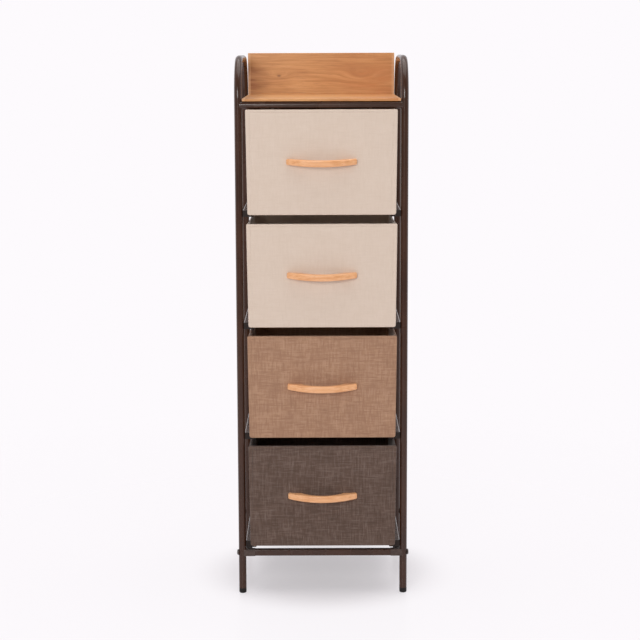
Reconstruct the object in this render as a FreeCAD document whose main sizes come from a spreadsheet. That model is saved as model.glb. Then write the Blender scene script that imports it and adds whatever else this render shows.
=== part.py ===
import FreeCAD, Part
import math
import os

import Sketcher
from FreeCAD import Vector

# Fabric drawer dresser, millimetres. +Z is up, the drawers open towards -Y, and the origin is on the floor
# under the middle of the whole object, handles included.

DRAWERS = 4
NEAR = 1e-3  # millimetres; what is nearer than this lies on the same plane

SIZES = {
    # frame
    "frame_width": 320.0,  # over the outer sides of the two side loops
    "frame_depth": 300.0,  # over the front and rear legs
    "tube_diameter": 14.0,  # round tube of the side loops and the top bars
    "tube_wall": 1.2,
    "bend_radius": 70.0,  # centre line of the loops' two bends
    "loop_rise": 78.0,  # top of the loops above the shelf
    "foot_height": 9.5,  # visible part of a foot cap
    "foot_round": 2.5,
    "plug_length": 18.0,  # part of a foot cap inside its tube
    "plug_clearance": 0.1,  # all round a plug inside its tube
    "bar_size": 12.0,  # outer size of the square bottom bars
    "rail_width": 20.0,
    "rail_height": 12.0,
    "tube_corner": 1.5,  # rounding of the square and rectangular tubes' long edges
    "weld_gap": 0.05,  # between a tube's end and the tube it meets
    "saddle_setback": 2.2,  # tips of a top bar's ends short of the legs' centre line
    "bar_ground_clearance": 73.5,  # floor to the underside of the bottom bars
    "rail_gap": 6.0,  # bottom bars to the lowest rails
    "rail_cap": 2.0,  # thickness of a rail plug's visible cap
    "rail_plug_length": 12.0,
    "stub_diameter": 10.0,  # pegs on the legs that hold the top bars
    "stub_length": 16.0,
    # fastenings
    "bolt_diameter": 6.0,
    "bolt_head_diameter": 11.0,
    "bolt_head_height": 3.2,
    "bolt_head_round": 2.4,
    "bolt_socket": 4.0,  # across the flats of the hexagon
    "bolt_socket_depth": 1.8,
    "bolt_reach": 14.0,  # length of the bolt inside its end fitting
    "fitting_length": 17.0,  # visible length of an end fitting, from the leg's inner side
    "fitting_size": 13.2,
    "fitting_spigot": 18.0,  # length inside the bottom bar
    "screw_diameter": 4.0,
    "screw_head_diameter": 7.6,
    "screw_head_height": 2.4,
    "screw_clearance": 0.1,  # all round a screw's shank
    "hole_depth_spare": 1.0,  # a blind hole past its screw's tip
    "shelf_screw_spacing": 180.0,
    "shelf_screw_bite": 4.0,  # depth of the front screws in the shelf
    "back_screw_bite": 22.0,  # depth of the rear screws in the back board
    # boards
    "shelf_thickness": 5.0,
    "board_side_clearance": 0.5,  # between a board's end and the leg beside it
    "shelf_setback": 0.5,  # shelf edge behind the front of the legs
    "back_board_height": 81.5,
    "back_board_thickness": 12.0,
    "board_edge_round": 1.0,
    # drawers
    "front_height": 193.5,
    "front_side_clearance": 6.25,  # between a front's upper corners and the legs
    "front_taper": 2.5,  # by which each side stands further in at the bottom
    "front_corner": 4.0,  # rounding of the lower corners
    "front_thickness": 5.2,  # both layers of fabric with the board between them
    "front_overhang": 8.5,  # front below the top of the rails
    "front_gap": 0.3,  # between a closed front and the legs' front side
    "drawer_gap": 16.5,  # between one front and the next
    "top_gap": 0.9,  # between the top front and the top bar
    "bin_side_clearance": 8.5,  # between a bin and the legs
    "bin_rear_setback": 10.0,
    "bin_wall": 2.0,
    "bin_corner": 9.0,
    "rest_clearance": 0.3,  # between a bin's underside and its rails
    "pocket_layer": 1.0,  # fabric over each face of the front board
    "pocket_margin": 6.0,  # seam beside and above the front board
    "front_board_thickness": 3.0,
    "front_board_clearance": 0.2,
    "base_board_thickness": 3.0,
    "base_board_clearance": 0.6,
    # handles
    "handle_screw_spacing": 96.0,
    "handle_foot_outside": 17.0,  # from a screw to the handle's end
    "handle_foot_inside": 10.0,  # from a screw to the finger gap
    "handle_reach": 23.5,  # out from the drawer front
    "handle_end_depth": 7.5,
    "handle_bow": 7.5,  # thickness at the middle of the bow
    "handle_rise": 5.6,  # top of the handle above its screws, at the ends
    "handle_top_dip": 2.0,  # by which the top droops at the middle
    "handle_end_drop": 5.4,  # underside below the screws, at the ends
    "handle_mid_drop": 9.4,  # and at the middle
    "handle_round": 3.2,
    "handle_finger_round": 1.6,  # edges behind the bow
    "handle_height": 98.6,  # screws above the lower edge of the front
    "handle_screw_bite": 9.0,
}

PLACES = {
    "leg_x": "Sizes.frame_width / 2 - Sizes.tube_diameter / 2",
    "leg_y": "Sizes.frame_depth / 2 - Sizes.tube_diameter / 2",
    "bore": "Sizes.tube_diameter - 2 * Sizes.tube_wall",
    "clear_half": "Sizes.frame_width / 2 - Sizes.tube_diameter",
    "frame_y": "(Sizes.front_gap + Sizes.front_thickness + Sizes.handle_reach) / 2",
    "rail_x": "clear_half - Sizes.rail_width / 2",
    "bottom_bar_z": "Sizes.bar_ground_clearance + Sizes.bar_size / 2",
    "lowest_rail_top": "Sizes.bar_ground_clearance + Sizes.bar_size + Sizes.rail_gap + Sizes.rail_height",
    "pitch": "Sizes.front_height + Sizes.drawer_gap",
    "front_top": "Sizes.front_height - Sizes.front_overhang",
    "top_bar_z": "lowest_rail_top + %d * pitch + front_top + Sizes.top_gap + Sizes.tube_diameter / 2"
    % (DRAWERS - 1),
    "shelf_z": "top_bar_z + Sizes.tube_diameter / 2",
    "shelf_top": "shelf_z + Sizes.shelf_thickness",
    "loop_top": "shelf_top + Sizes.loop_rise - Sizes.tube_diameter / 2",
    "fitting_end": "clear_half - Sizes.fitting_length",
    "screw_seat": "sqrt(bore^2 - Sizes.screw_head_diameter^2) / 2 - Sizes.screw_clearance",
    "screw_access": "Sizes.screw_head_diameter + 4 * Sizes.screw_clearance",
    "screw_bore": "Sizes.screw_diameter + 2 * Sizes.screw_clearance",
    "bolt_bore": "Sizes.bolt_diameter + 2 * Sizes.screw_clearance",
    "bin_half": "clear_half - Sizes.bin_side_clearance",
    "bin_rear": "Sizes.frame_depth - Sizes.bin_rear_setback",
    "pocket_y": "Sizes.front_gap + Sizes.pocket_layer",
    "pocket_thickness": "Sizes.front_thickness - 2 * Sizes.pocket_layer",
    "front_top_half": "clear_half - Sizes.front_side_clearance",
    "front_bottom_half": "front_top_half - Sizes.front_taper",
    "pocket_half": "front_bottom_half - Sizes.pocket_margin",
    "pocket_height": "Sizes.front_height - Sizes.pocket_margin",
    "handle_z": "Sizes.handle_height - Sizes.front_overhang",
    "handle_half": "Sizes.handle_screw_spacing / 2 + Sizes.handle_foot_outside",
    "finger_half": "Sizes.handle_screw_spacing / 2 - Sizes.handle_foot_inside",
    "panel_y": "Sizes.front_gap + Sizes.front_thickness",
}

doc = FreeCAD.newDocument("dresser")
nodes = []


# ---- the sheet and the helpers that bind to it -----------------------------------------------------------


def make_sheet(name, entries):
    """A sheet with one row per entry: its name, its value or formula, and an alias."""
    sheet = doc.addObject("Spreadsheet::Sheet", name)
    for row, (alias, value) in enumerate(entries.items(), start=1):
        sheet.set("A%d" % row, alias)
        sheet.set("B%d" % row, str(value))
        sheet.setAlias("B%d" % row, alias)
    doc.recompute()
    return sheet


def measure(expression):
    """The present value of an expression, in millimetres."""
    return float(sizes.evalExpression(expression))


def bind(item, bindings):
    """Binds properties of an object to expressions on the sheets."""
    for path, expression in bindings.items():
        item.setExpression(path, expression)


def place(item, x="0", y="0", z="0"):
    """Binds an object's position."""
    bind(item, {".Placement.Base.x": x, ".Placement.Base.y": y, ".Placement.Base.z": z})


def make_body(label, x="0", y="Places.frame_y", z="0", turn=0):
    """An empty body; its own origin lies at the place given, turned about the vertical."""
    body = doc.addObject("PartDesign::Body", label)
    body.Label = label
    body.Placement = FreeCAD.Placement(Vector(0, 0, 0), FreeCAD.Rotation(Vector(0, 0, 1), turn))
    place(body, x, y, z)
    nodes.append(body)
    return body


def make_sketch(body, plane, x="0", y="0", z="0"):
    """A sketch on one of the body's origin planes, its zero moved by x and y in the plane and z off it."""
    sketch = body.newObject("Sketcher::SketchObject", body.Name + "_sketch")
    sketch.AttachmentSupport = (origin_item(body, plane), "")
    sketch.MapMode = "FlatFace"
    bind(sketch, {".AttachmentOffset.Base.x": x, ".AttachmentOffset.Base.y": y, ".AttachmentOffset.Base.z": z})
    return sketch


def origin_item(body, role):
    """An origin plane or axis of a body."""
    return next(item for item in body.Origin.OriginFeatures if item.Role == role)


def dimension(sketch, kind, where, expression):
    """A sketch dimension bound to an expression."""
    index = sketch.addConstraint(Sketcher.Constraint(kind, *where, measure(expression)))
    sketch.setExpression("Constraints[%d]" % index, expression)


def pin(sketch, geometry, point, x, y):
    """Fixes a point of a sketch at x and y from the sketch's zero."""
    dimension(sketch, "DistanceX", (-1, 1, geometry, point), x)
    dimension(sketch, "DistanceY", (-1, 1, geometry, point), y)


def draw_outline(sketch, corners):
    """A closed outline of straight lines between corners given as pairs of expressions."""
    first = sketch.GeometryCount
    count = len(corners)
    points = [Vector(measure(x), measure(y), 0) for x, y in corners]
    for i in range(count):
        sketch.addGeometry(Part.LineSegment(points[i], points[(i + 1) % count]), False)
    for i in range(count):
        sketch.addConstraint(Sketcher.Constraint("Coincident", first + i, 2, first + (i + 1) % count, 1))
    for i, (x, y) in enumerate(corners):
        pin(sketch, first + i, 1, x, y)


def draw_box(sketch, x_low, x_high, y_low, y_high):
    """A rectangle between four expressions."""
    draw_outline(sketch, [(x_low, y_low), (x_high, y_low), (x_high, y_high), (x_low, y_high)])


def draw_centred_box(sketch, half_x, half_y):
    """A rectangle about the sketch's zero."""
    draw_box(sketch, "-(%s)" % half_x, half_x, "-(%s)" % half_y, half_y)


def draw_circle(sketch, diameter, x=None, y=None):
    """A circle about the sketch's zero, or about x and y."""
    centre = Vector(0, 0, 0) if x is None else Vector(measure(x), measure(y), 0)
    radius = measure(diameter) / 2
    index = sketch.addGeometry(Part.Circle(centre, Vector(0, 0, 1), radius), False)
    if x is None:
        sketch.addConstraint(Sketcher.Constraint("Coincident", index, 3, -1, 1))
    else:
        pin(sketch, index, 3, x, y)
    dimension(sketch, "Diameter", (index,), diameter)


def pad(body, sketch, length, centred=False):
    """Adds a sketch's area over a length, to one side or to both."""
    feature = body.newObject("PartDesign::Pad", body.Name + "_pad")
    feature.Profile = sketch
    feature.Midplane = centred
    bind(feature, {"Length": length})
    return feature


def pocket(body, sketch, length=None, upwards=False):
    """Cuts a sketch's area to a depth, or right through the body on both sides of the sketch."""
    feature = body.newObject("PartDesign::Pocket", body.Name + "_pocket")
    feature.Profile = sketch
    feature.Reversed = upwards
    if length is None:
        feature.Type = "ThroughAll"
        feature.Midplane = True
    else:
        bind(feature, {"Length": length})
    return feature


def revolve(body, sketch, axis):
    """Turns a sketch about one of the body's origin axes."""
    feature = body.newObject("PartDesign::Revolution", body.Name + "_revolution")
    feature.Profile = sketch
    feature.ReferenceAxis = (origin_item(body, axis), [""])
    feature.Angle = 360
    return feature


def round_edges(body, base, radius, chosen):
    """Rounds the edges of a feature that pass a test."""
    doc.recompute()
    edges = [
        "Edge%d" % number
        for number, edge in enumerate(base.Shape.Edges, start=1)
        if chosen(edge)
    ]
    feature = body.newObject("PartDesign::Fillet", body.Name + "_fillet")
    feature.Base = (base, edges)
    bind(feature, {"Radius": radius})
    return feature


def runs_along(edge, axis):
    """Whether a straight edge runs along an axis (0, 1 or 2)."""
    box = edge.BoundBox
    spans = (box.XLength, box.YLength, box.ZLength)
    return spans[axis] > 0.5 and sum(spans) - spans[axis] < 1e-6


def repeat(body, *steps):
    """Repeats the body's shape by mirrors ('XZ_Plane', 'YZ_Plane') and upward rows (length, count)."""
    doc.recompute()
    group = body.newObject("PartDesign::MultiTransform", body.Name + "_group")
    group.TransformMode = "Whole shape"
    transformations = []
    for step in steps:
        if isinstance(step, str):
            item = body.newObject("PartDesign::Mirrored", body.Name + "_mirror")
            item.MirrorPlane = (origin_item(body, step), [""])
        else:
            length, count = step
            item = body.newObject("PartDesign::LinearPattern", body.Name + "_row")
            item.Direction = (origin_item(body, "Z_Axis"), [""])
            item.Occurrences = count
            bind(item, {"Length": length})
        transformations.append(item)
    group.Transformations = transformations
    body.Tip = group


# ---- frame -----------------------------------------------------------------------------------------------


def side_loop(label, side):
    """A bent tube: front leg, top run and rear leg. The right loop is the left one turned about."""
    body = make_body(label, "%d * Places.leg_x" % side, turn=0 if side < 0 else 180)
    spine = make_sketch(body, "YZ_Plane")
    half = measure("Places.leg_y")
    low = measure("Sizes.foot_height")
    top = measure("Places.loop_top")
    bend = measure("Sizes.bend_radius")
    quarter = math.pi / 2
    normal = Vector(0, 0, 1)
    front_bend = Part.Circle(Vector(bend - half, top - bend, 0), normal, bend)
    rear_bend = Part.Circle(Vector(half - bend, top - bend, 0), normal, bend)
    spine.addGeometry(Part.LineSegment(Vector(-half, low, 0), Vector(-half, top - bend, 0)), False)
    spine.addGeometry(Part.ArcOfCircle(front_bend, quarter, 2 * quarter), False)
    spine.addGeometry(Part.LineSegment(Vector(bend - half, top, 0), Vector(half - bend, top, 0)), False)
    spine.addGeometry(Part.ArcOfCircle(rear_bend, 0, quarter), False)
    spine.addGeometry(Part.LineSegment(Vector(half, top - bend, 0), Vector(half, low, 0)), False)
    for joint in ((0, 2, 1, 2), (1, 1, 2, 1), (2, 2, 3, 2), (3, 1, 4, 1)):
        spine.addConstraint(Sketcher.Constraint("Tangent", *joint))
    spine.addConstraint(Sketcher.Constraint("Equal", 1, 3))
    dimension(spine, "Radius", (1,), "Sizes.bend_radius")
    pin(spine, 0, 1, "-Places.leg_y", "Sizes.foot_height")
    pin(spine, 4, 2, "Places.leg_y", "Sizes.foot_height")
    spine.addConstraint(Sketcher.Constraint("Horizontal", 2))
    dimension(spine, "DistanceY", (-1, 1, 2, 1), "Places.loop_top")

    ring = make_sketch(body, "XY_Plane", "0", "-Places.leg_y", "Sizes.foot_height")
    draw_circle(ring, "Sizes.tube_diameter")
    draw_circle(ring, "Places.bore")
    pipe = body.newObject("PartDesign::AdditivePipe", body.Name + "_pipe")
    pipe.Profile = ring
    pipe.Spine = (spine, ["Edge%d" % number for number in range(1, 6)])
    doc.recompute()

    pegs = make_sketch(body, "YZ_Plane")
    for leg in (-1, 1):
        draw_circle(pegs, "Sizes.stub_diameter", "%d * Places.leg_y" % leg, "Places.top_bar_z")
    pad(body, pegs, "Sizes.tube_diameter / 2 + Sizes.stub_length")

    holes = make_sketch(body, "YZ_Plane")
    for leg in (-1, 1):
        draw_circle(holes, "Places.bolt_bore", "%d * Places.leg_y" % leg, "Places.bottom_bar_z")
    pocket(body, holes)


def straight_tube(label, axis, half_length, width, height, **where):
    """A straight rectangular tube with rounded long edges, centred on its own origin."""
    body = make_body(label, **where)
    plane = "XZ_Plane" if axis == 1 else "YZ_Plane"
    outer = make_sketch(body, plane)
    draw_centred_box(outer, width + " / 2", height + " / 2")
    solid = pad(body, outer, "2 * (%s)" % half_length, centred=True)
    round_edges(body, solid, "Sizes.tube_corner", lambda edge: runs_along(edge, axis))
    inner = make_sketch(body, plane)
    draw_centred_box(inner, width + " / 2 - Sizes.tube_wall", height + " / 2 - Sizes.tube_wall")
    pocket(body, inner)


def rail_top(level):
    """Height of the top of a level's rails; level 1 is the highest."""
    return "(Places.lowest_rail_top + %d * Places.pitch)" % (DRAWERS - level)


def drawer_rails():
    """A rail against the inner side of the legs, left and right, under each drawer."""
    for level in range(1, DRAWERS + 1):
        for name, side in (("left", -1), ("right", 1)):
            straight_tube(
                "rail_%s_%d" % (name, level),
                1,
                "Sizes.frame_depth / 2 - Sizes.rail_cap",
                "Sizes.rail_width",
                "Sizes.rail_height",
                x="%d * Places.rail_x" % side,
                z=rail_top(level) + " - Sizes.rail_height / 2",
            )


def rail_plugs(label, side):
    """The plugs in one end of all the rails: a cap as wide as the tube, and a block inside it."""
    body = make_body(label)
    middle = "Places.lowest_rail_top - Sizes.rail_height / 2"
    where = ("Places.rail_x", middle, "%d * Sizes.frame_depth / 2" % -side)
    cap = make_sketch(body, "XZ_Plane", *where)
    draw_centred_box(cap, "Sizes.rail_width / 2", "Sizes.rail_height / 2")
    cap_pad = pad(body, cap, "Sizes.rail_cap")
    cap_pad.Reversed = side < 0
    round_edges(body, cap_pad, "Sizes.tube_corner", lambda edge: runs_along(edge, 1))
    block = make_sketch(body, "XZ_Plane", *where)
    around = " / 2 - Sizes.tube_wall - Sizes.plug_clearance"
    draw_centred_box(block, "Sizes.rail_width" + around, "Sizes.rail_height" + around)
    block_pad = pad(body, block, "Sizes.rail_cap + Sizes.rail_plug_length")
    block_pad.Reversed = side < 0
    repeat(body, "YZ_Plane", ("%d * Places.pitch" % (DRAWERS - 1), DRAWERS))


def top_bar(label, side):
    """A round bar across the top, shaped at its ends to the legs. Each screw passes its lower wall by a
    wide access hole and its upper wall by a narrow one."""
    body = make_body(label, y="Places.frame_y + %d * Places.leg_y" % side, z="Places.top_bar_z")
    ring = make_sketch(body, "YZ_Plane")
    draw_circle(ring, "Sizes.tube_diameter")
    draw_circle(ring, "Places.bore")
    pad(body, ring, "2 * (Places.leg_x - Sizes.saddle_setback)", centred=True)
    saddles = make_sketch(body, "XY_Plane")
    for end in (-1, 1):
        draw_circle(saddles, "Sizes.tube_diameter + 2 * Sizes.weld_gap", "%d * Places.leg_x" % end, "0")
    pocket(body, saddles)
    holes = make_sketch(body, "XY_Plane")
    for end in (-1, 1):
        draw_circle(holes, "Places.screw_bore", "%d * Sizes.shelf_screw_spacing / 2" % end, "0")
    pocket(body, holes)
    access = make_sketch(body, "XY_Plane")
    for end in (-1, 1):
        draw_circle(access, "Places.screw_access", "%d * Sizes.shelf_screw_spacing / 2" % end, "0")
    pocket(body, access, "Sizes.tube_diameter")


def end_fitting(label, end, side):
    """A moulded end of a bottom bar: a block shaped to the leg, and a spigot inside the bar."""
    body = make_body(
        label,
        "%d * Places.leg_x" % end,
        "Places.frame_y + %d * Places.leg_y" % side,
        "Places.bottom_bar_z",
        turn=0 if end < 0 else 180,
    )
    block = make_sketch(body, "YZ_Plane")
    draw_centred_box(block, "Sizes.fitting_size / 2", "Sizes.fitting_size / 2")
    solid = pad(body, block, "Sizes.tube_diameter / 2 + Sizes.fitting_length")
    round_edges(body, solid, "Sizes.tube_corner", lambda edge: runs_along(edge, 0))
    spigot = make_sketch(body, "YZ_Plane")
    inside = "Sizes.bar_size / 2 - Sizes.tube_wall - Sizes.plug_clearance"
    draw_centred_box(spigot, inside, inside)
    pad(body, spigot, "Sizes.tube_diameter / 2 + Sizes.fitting_length + Sizes.fitting_spigot")
    saddle = make_sketch(body, "XY_Plane")
    draw_circle(saddle, "Sizes.tube_diameter + 2 * Sizes.weld_gap")
    pocket(body, saddle)
    thread = make_sketch(body, "YZ_Plane")
    draw_circle(thread, "Places.bolt_bore")
    pocket(body, thread, "Sizes.tube_diameter / 2 + Sizes.bolt_reach + Sizes.hole_depth_spare", upwards=True)


def foot_cap(label, end, side):
    """A moulded foot: a rounded pad under the leg and a plug inside it."""
    body = make_body(label, "%d * Places.leg_x" % end, "Places.frame_y + %d * Places.leg_y" % side)
    half = make_sketch(body, "XZ_Plane")
    outer = "Sizes.tube_diameter / 2"
    inner = "Places.bore / 2 - Sizes.plug_clearance"
    draw_outline(
        half,
        [
            ("0", "0"),
            (outer, "0"),
            (outer, "Sizes.foot_height"),
            (inner, "Sizes.foot_height"),
            (inner, "Sizes.foot_height + Sizes.plug_length"),
            ("0", "Sizes.foot_height + Sizes.plug_length"),
        ],
    )
    turned = revolve(body, half, "Z_Axis")
    round_edges(body, turned, "Sizes.foot_round", lambda edge: edge.BoundBox.ZMax < NEAR)


def frame_bolts():
    """The four bolts that hold the bottom bars, each through a leg into an end fitting."""
    body = make_body("frame_bolts")
    side = make_sketch(body, "XY_Plane", "0", "-Places.leg_y", "Places.bottom_bar_z")
    head = "Sizes.frame_width / 2"
    draw_outline(
        side,
        [
            (head + " + Sizes.bolt_head_height", "0"),
            (head + " + Sizes.bolt_head_height", "Sizes.bolt_head_diameter / 2"),
            (head, "Sizes.bolt_head_diameter / 2"),
            (head, "Sizes.bolt_diameter / 2"),
            ("Places.clear_half - Sizes.bolt_reach", "Sizes.bolt_diameter / 2"),
            ("Places.clear_half - Sizes.bolt_reach", "0"),
        ],
    )
    bolt = body.newObject("PartDesign::Revolution", "bolt_turned")
    bolt.Profile = side
    bolt.ReferenceAxis = (side, ["H_Axis"])
    bolt.Angle = 360
    face = measure(head + " + Sizes.bolt_head_height") - NEAR
    round_edges(body, bolt, "Sizes.bolt_head_round", lambda edge: edge.BoundBox.XMin > face)
    top = head + " + Sizes.bolt_head_height"
    socket = make_sketch(body, "YZ_Plane", "-Places.leg_y", "Places.bottom_bar_z", top)
    across = "Sizes.bolt_socket / 2"
    corner = "Sizes.bolt_socket / sqrt(3)"
    draw_outline(
        socket,
        [
            (corner, "0"),
            ("(%s) / 2" % corner, across),
            ("-(%s) / 2" % corner, across),
            ("-(%s)" % corner, "0"),
            ("-(%s) / 2" % corner, "-(%s)" % across),
            ("(%s) / 2" % corner, "-(%s)" % across),
        ],
    )
    pocket(body, socket, "Sizes.bolt_socket_depth")
    repeat(body, "XZ_Plane", "YZ_Plane")


def upright_screws(label, side, tip):
    """Two screws up out of a top bar; their heads bear on the bar's upper wall from within."""
    body = make_body(label)
    profile = make_sketch(
        body, "XZ_Plane", "Sizes.shelf_screw_spacing / 2", "0", "%d * Places.leg_y" % -side
    )
    seat = "Places.top_bar_z + Places.screw_seat"
    draw_outline(
        profile,
        [
            ("0", seat + " - Sizes.screw_head_height"),
            ("Sizes.screw_head_diameter / 3", seat + " - Sizes.screw_head_height"),
            ("Sizes.screw_head_diameter / 2", seat + " - Sizes.screw_head_height / 3"),
            ("Sizes.screw_head_diameter / 2", seat),
            ("Sizes.screw_diameter / 2", seat),
            ("Sizes.screw_diameter / 2", tip + " - Sizes.screw_diameter / 2"),
            ("0", tip),
        ],
    )
    screw = body.newObject("PartDesign::Revolution", body.Name + "_turned")
    screw.Profile = profile
    screw.ReferenceAxis = (profile, ["V_Axis"])
    screw.Angle = 360
    repeat(body, "YZ_Plane")


# ---- boards ----------------------------------------------------------------------------------------------


def shelf_board():
    """The wooden shelf on the two top bars, with holes for the screws from below."""
    body = make_body("shelf_board", z="Places.shelf_z")
    plan = make_sketch(body, "XY_Plane")
    half_y = "Sizes.frame_depth / 2 - Sizes.shelf_setback"
    draw_centred_box(plan, "Places.clear_half - Sizes.board_side_clearance", half_y)
    board = pad(body, plan, "Sizes.shelf_thickness")
    round_edges(body, board, "Sizes.board_edge_round", lambda edge: not runs_along(edge, 2))
    front = make_sketch(body, "XY_Plane")
    rear = make_sketch(body, "XY_Plane")
    for end in (-1, 1):
        x = "%d * Sizes.shelf_screw_spacing / 2" % end
        draw_circle(front, "Places.screw_bore", x, "-Places.leg_y")
        draw_circle(rear, "Places.screw_bore", x, "Places.leg_y")
    pocket(body, front, "Sizes.shelf_screw_bite", upwards=True)
    pocket(body, rear)


def back_board():
    """The upright board that stands on the rear of the shelf, between the loops' rear legs."""
    body = make_body("back_board", y="Places.frame_y + Places.leg_y", z="Places.shelf_top")
    face = make_sketch(body, "XZ_Plane")
    half = "Places.clear_half - Sizes.board_side_clearance"
    draw_box(face, "-(%s)" % half, half, "0", "Sizes.back_board_height")
    board = pad(body, face, "Sizes.back_board_thickness", centred=True)
    round_edges(body, board, "Sizes.board_edge_round", lambda edge: edge.BoundBox.ZMin > NEAR)
    holes = make_sketch(body, "XY_Plane")
    for end in (-1, 1):
        draw_circle(holes, "Places.screw_bore", "%d * Sizes.shelf_screw_spacing / 2" % end, "0")
    pocket(body, holes, "Sizes.back_screw_bite + Sizes.hole_depth_spare", upwards=True)


# ---- drawers ---------------------------------------------------------------------------------------------


def drawer_body(label, level):
    """A body whose zero is the middle of the legs' front plane, at the top of the level's rails."""
    return make_body(label, y="Places.frame_y - Sizes.frame_depth / 2", z=rail_top(level))


def screw_holes(body, depth):
    """Cuts the handle's two screw holes from the front of the drawer."""
    holes = make_sketch(body, "XZ_Plane", "0", "Places.handle_z", "Places.panel_y")
    for end in (-1, 1):
        draw_circle(holes, "Places.screw_bore", "%d * Sizes.handle_screw_spacing / 2" % end, "0")
    pocket(body, holes, depth)


def fabric_bin(level):
    """The sewn bin: four walls and a floor, and a front that hangs lower, with a pocket for its board."""
    body = drawer_body("drawer_%d_bin" % level, level)
    plan = make_sketch(body, "XY_Plane", z="Sizes.rest_clearance")
    draw_box(plan, "-Places.bin_half", "Places.bin_half", "-Sizes.front_gap", "Places.bin_rear")
    pad(body, plan, "Places.front_top - Sizes.rest_clearance")
    inside = make_sketch(body, "XY_Plane", z="Places.front_top")
    draw_box(
        inside,
        "-(Places.bin_half - Sizes.bin_wall)",
        "Places.bin_half - Sizes.bin_wall",
        "Sizes.bin_wall - Sizes.front_gap",
        "Places.bin_rear - Sizes.bin_wall",
    )
    hollow = pocket(body, inside, "Places.front_top - Sizes.rest_clearance - Sizes.bin_wall")
    inner_face = measure("Places.bin_half - Sizes.bin_wall") + NEAR
    middle = measure("Places.bin_rear / 2")

    def at_rear_corner(edge, inner):
        box = edge.BoundBox
        return runs_along(edge, 2) and box.YMin > middle and (abs(box.XMin) < inner_face) == inner

    cornered = round_edges(
        body, hollow, "Sizes.bin_corner - Sizes.bin_wall", lambda edge: at_rear_corner(edge, True)
    )
    round_edges(body, cornered, "Sizes.bin_corner", lambda edge: at_rear_corner(edge, False))
    front = make_sketch(body, "XZ_Plane", z="Sizes.front_gap")
    draw_outline(
        front,
        [
            ("-Places.front_bottom_half", "-Sizes.front_overhang"),
            ("Places.front_bottom_half", "-Sizes.front_overhang"),
            ("Places.front_top_half", "Places.front_top"),
            ("-Places.front_top_half", "Places.front_top"),
        ],
    )
    panel = pad(body, front, "Sizes.front_thickness")
    round_edges(
        body, panel, "Sizes.front_corner", lambda edge: runs_along(edge, 1) and edge.BoundBox.ZMax < -NEAR
    )
    slot = make_sketch(body, "XY_Plane", z="-Sizes.front_overhang")
    draw_box(
        slot,
        "-Places.pocket_half",
        "Places.pocket_half",
        "-(Places.pocket_y + Places.pocket_thickness)",
        "-Places.pocket_y",
    )
    pocket(body, slot, "Places.pocket_height", upwards=True)
    screw_holes(body, "Sizes.front_thickness + Sizes.bin_wall + Sizes.hole_depth_spare")


def front_board(level):
    """The stiff board inside the pocket of a drawer's front."""
    body = drawer_body("drawer_%d_front_board" % level, level)
    start = "Places.pocket_y + Places.pocket_thickness / 2 - Sizes.front_board_thickness / 2"
    face = make_sketch(body, "XZ_Plane", z=start)
    half = "Places.pocket_half - Sizes.front_board_clearance"
    draw_box(
        face,
        "-(%s)" % half,
        half,
        "-Sizes.front_overhang",
        "Places.pocket_height - Sizes.front_overhang - Sizes.front_board_clearance",
    )
    pad(body, face, "Sizes.front_board_thickness")
    screw_holes(body, "Sizes.front_thickness + Sizes.bin_wall + Sizes.hole_depth_spare")


def base_board(level):
    """The stiff board that lies on a bin's floor."""
    body = drawer_body("drawer_%d_base_board" % level, level)
    plan = make_sketch(body, "XY_Plane", z="Sizes.rest_clearance + Sizes.bin_wall")
    half = "Places.bin_half - Sizes.bin_wall - Sizes.base_board_clearance"
    draw_box(
        plan,
        "-(%s)" % half,
        half,
        "Sizes.bin_wall - Sizes.front_gap + Sizes.base_board_clearance",
        "Places.bin_rear - Sizes.bin_wall - Sizes.base_board_clearance",
    )
    board = pad(body, plan, "Sizes.base_board_thickness")
    middle = measure("Places.bin_rear / 2")
    round_edges(
        body, board, "Sizes.bin_corner", lambda edge: runs_along(edge, 2) and edge.BoundBox.YMin > middle
    )


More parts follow.
